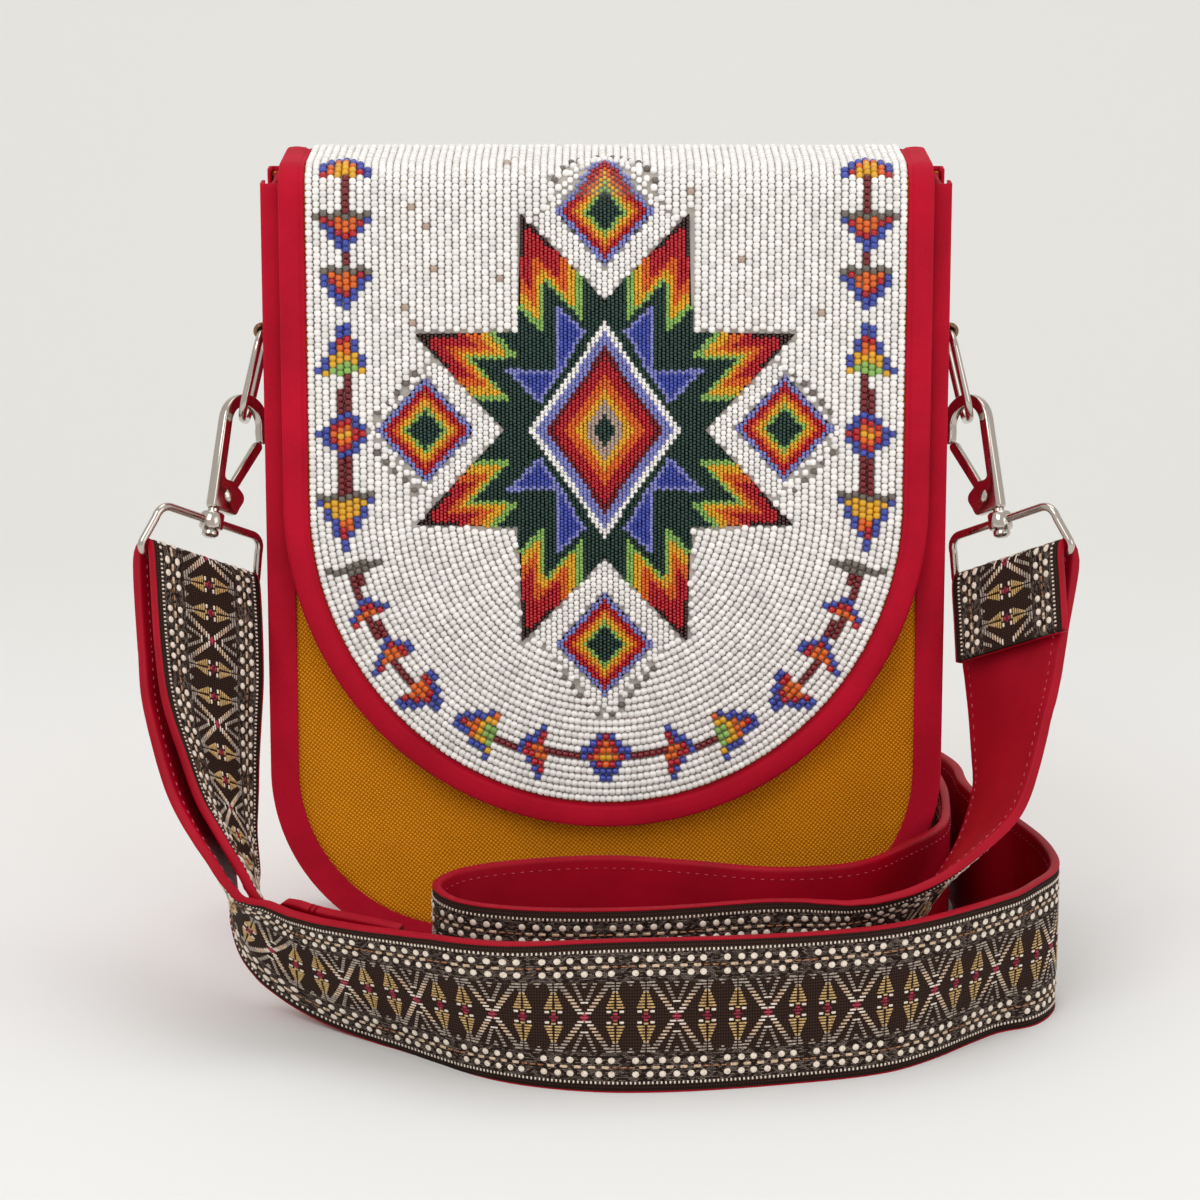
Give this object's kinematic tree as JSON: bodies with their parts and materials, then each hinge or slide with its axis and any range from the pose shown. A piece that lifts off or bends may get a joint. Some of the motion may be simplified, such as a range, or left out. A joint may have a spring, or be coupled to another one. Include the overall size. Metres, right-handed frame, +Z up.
{
  "type": "crossbody bag",
  "caption": "Upright canvas pouch with a round-ended beaded flap, red bias bindings and a wide woven strap clipped on with swivel hooks.",
  "frame": {"origin": "middle of the underside of the gusset, on the table under the pouch", "axes": "+Z up, -Y out of the beaded front, +X to the viewer's right"},
  "size_m": [0.2784, 0.2073, 0.2437],
  "materials": {
    "canvas": "plain weave canvas",
    "bias": "bias tape",
    "red_cloth": "plain cloth",
    "nickel": "polished nickel",
    "dark_nickel": "polished nickel",
    "jacquard": "patterned woven tape",
    "tab_weave": "woven tape",
    "pearl_beads": "opaque seed beads",
    "dark_green_beads": "opaque seed beads",
    "yellow_beads": "opaque seed beads",
    "orange_beads": "opaque seed beads",
    "red_beads": "opaque seed beads",
    "blue_beads": "opaque seed beads"
  },
  "bodies": {
    "bag": {"arrow_chain_left": "red_beads", "arrow_chain_right": "red_beads", "back_binding": "bias", "back_panel": "canvas", "bead_ground": "pearl_beads", "diamond_bottom_core": "dark_green_beads", "diamond_bottom_edge": "blue_beads", "diamond_bottom_middle": "orange_beads", "diamond_left_core": "dark_green_beads", "diamond_left_edge": "blue_beads", "diamond_left_middle": "orange_beads", "diamond_right_core": "dark_green_beads", "diamond_right_edge": "blue_beads", "diamond_right_middle": "orange_beads", "diamond_top_core": "dark_green_beads", "diamond_top_edge": "blue_beads", "diamond_top_middle": "orange_beads", "flap_backing": "canvas", "flap_binding": "bias", "front_binding": "bias", "front_panel": "canvas", "gusset": "red_cloth", "mouth_hem": "bias", "side_tab_left": "tab_weave", "side_tab_right": "tab_weave", "star_diamond_core": "yellow_beads", "star_diamond_edge": "blue_beads", "star_diamond_middle": "red_beads", "star_field": "dark_green_beads", "star_tip_1": "orange_beads", "star_tip_2": "red_beads", "star_tip_3": "orange_beads", "star_tip_4": "red_beads", "star_tip_5": "orange_beads", "star_tip_6": "red_beads", "star_tip_7": "orange_beads", "star_tip_8": "red_beads", "strap_lining": "red_cloth", "strap_loop_left": "nickel", "strap_loop_right": "nickel", "strap_webbing": "jacquard"},
    "ring_left": {"ring_left": "nickel"},
    "hook_left": {"hook_frame_left": "nickel", "gate_rivet_left": "dark_nickel", "swivel_post_left": "nickel"},
    "gate_left": {"gate_left": "nickel"},
    "ring_right": {"ring_right": "nickel"},
    "hook_right": {"hook_frame_right": "nickel", "gate_rivet_right": "dark_nickel", "swivel_post_right": "nickel"},
    "gate_right": {"gate_right": "nickel"}
  },
  "joints": [
    {"name": "ring_swing_left", "type": "hinge", "parent": "bag", "child": "ring_left", "pos_m": [-0.1032, 0, 0.189], "axis": [0, -0.9627, 0.2706], "range_deg": [-1.5, 1.5]},
    {"name": "hook_swivel_left", "type": "hinge", "parent": "bag", "child": "hook_left", "pos_m": [-0.1172, -0.026, 0.1406], "axis": [-0.1113, -0.4496, -0.8863], "range_deg": [-3, 6]},
    {"name": "gate_swing_left", "type": "hinge", "parent": "hook_left", "child": "gate_left", "pos_m": [-0.11367, -0.02068, 0.14332], "axis": [0.7587, -0.6144, 0.2164], "range_deg": [0, 16], "stiffness_Nm_per_rad": 0.02},
    {"name": "ring_swing_right", "type": "hinge", "parent": "bag", "child": "ring_right", "pos_m": [0.1032, 0, 0.189], "axis": [0, 0.9627, -0.2706], "range_deg": [-1.5, 1.5]},
    {"name": "hook_swivel_right", "type": "hinge", "parent": "bag", "child": "hook_right", "pos_m": [0.1172, -0.026, 0.1406], "axis": [-0.1113, 0.4496, 0.8863], "range_deg": [-3, 6]},
    {"name": "gate_swing_right", "type": "hinge", "parent": "hook_right", "child": "gate_right", "pos_m": [0.11367, -0.02068, 0.14332], "axis": [0.7587, 0.6144, -0.2164], "range_deg": [0, 16], "stiffness_Nm_per_rad": 0.02}
  ]
}
